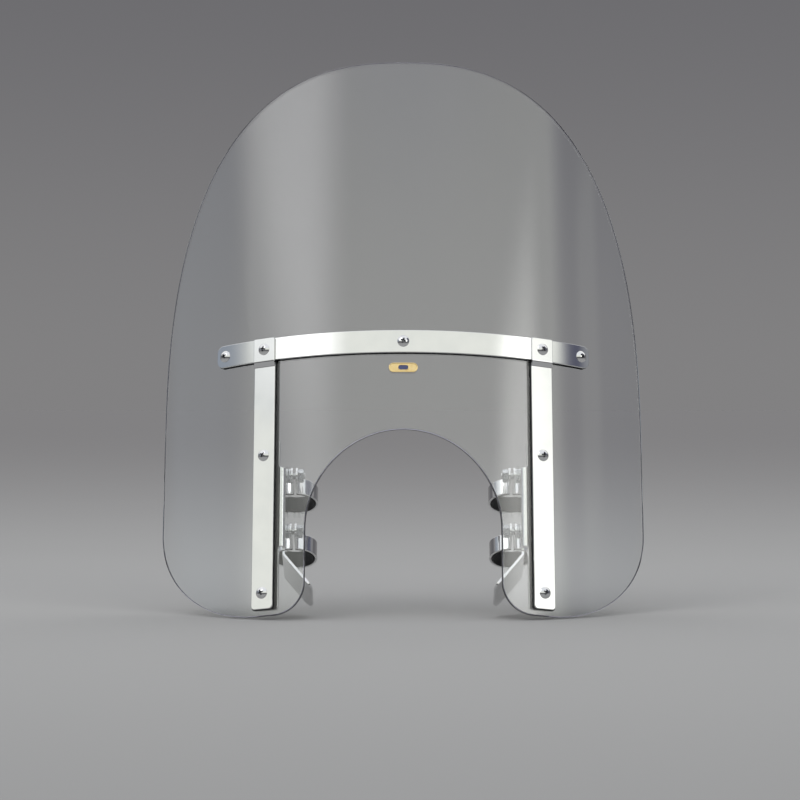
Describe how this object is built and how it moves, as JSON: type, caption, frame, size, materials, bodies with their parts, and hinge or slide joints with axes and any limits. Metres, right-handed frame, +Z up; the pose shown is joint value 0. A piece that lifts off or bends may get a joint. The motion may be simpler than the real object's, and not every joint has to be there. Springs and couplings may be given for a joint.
{
  "type": "motorcycle windshield",
  "caption": "Clear bent touring windshield with a headlight cutout, sandwiched between chromed straps, on side brackets and clamps for the fork tubes.",
  "frame": {"origin": "midpoint of the rake pivot, the line through the two lower clamp bolts", "axes": "+X across, to the rider's left; +Y to the rear; +Z up; the screen is symmetric about X=0. Node names say left for -X and right for +X, as seen from in front"},
  "size_m": [0.542, 0.2136, 0.6205],
  "materials": {
    "clear_sheet": "polished clear polycarbonate",
    "chrome": "polished chrome plate",
    "zinc_steel": "bright zinc plate",
    "black_rubber": "matt",
    "white_nylon": "natural nylon",
    "badge_metal": "satin pale gold with a plain enamel field"
  },
  "bodies": {
    "fork_clamps": {"left_upper_clamp_outer": "chrome", "left_upper_clamp_inner": "chrome", "left_upper_clamp_liner": "black_rubber", "left_lower_clamp_outer": "chrome", "left_lower_clamp_inner": "chrome", "left_lower_clamp_liner": "black_rubber", "right_upper_clamp_outer": "chrome", "right_upper_clamp_inner": "chrome", "right_upper_clamp_liner": "black_rubber", "right_lower_clamp_outer": "chrome", "right_lower_clamp_inner": "chrome", "right_lower_clamp_liner": "black_rubber", "upper_clamp_bolts": "chrome", "lower_pivot_bolts": "chrome", "clamp_bolt_nuts": "zinc_steel", "clamp_bolt_washers": "zinc_steel", "clamp_spacers": "zinc_steel", "clamp_rear_screws": "zinc_steel", "clamp_rear_nuts": "zinc_steel"},
    "side_brackets": {"left_side_bracket": "chrome", "right_side_bracket": "chrome"},
    "windshield": {"screen": "clear_sheet", "badge": "badge_metal", "cross_strap_front": "chrome", "cross_strap_rear": "chrome", "cross_gasket_front": "black_rubber", "cross_gasket_rear": "black_rubber", "left_upright_front": "chrome", "right_upright_front": "chrome", "left_upright_rear": "chrome", "right_upright_rear": "chrome", "left_gasket_front": "black_rubber", "right_gasket_front": "black_rubber", "left_gasket_rear": "black_rubber", "right_gasket_rear": "black_rubber", "screen_bushes": "white_nylon", "cross_strap_screws": "chrome", "crossing_screws": "chrome", "mid_upright_screws": "chrome", "lower_upright_screws": "chrome", "cross_strap_cap_nuts": "chrome", "crossing_cap_nuts": "chrome", "upright_cap_nuts": "chrome", "strap_washers": "zinc_steel"}
  },
  "joints": [
    {"name": "rake_tilt", "type": "hinge", "parent": "fork_clamps", "child": "side_brackets", "pos_m": [0, 0, 0], "axis": [1, 0, 0], "range_deg": [-5, 5]},
    {"name": "height_slide", "type": "slide", "parent": "side_brackets", "child": "windshield", "axis": [0, 0.2756, 0.9613], "range_m": [-0.01, 0.01]}
  ]
}
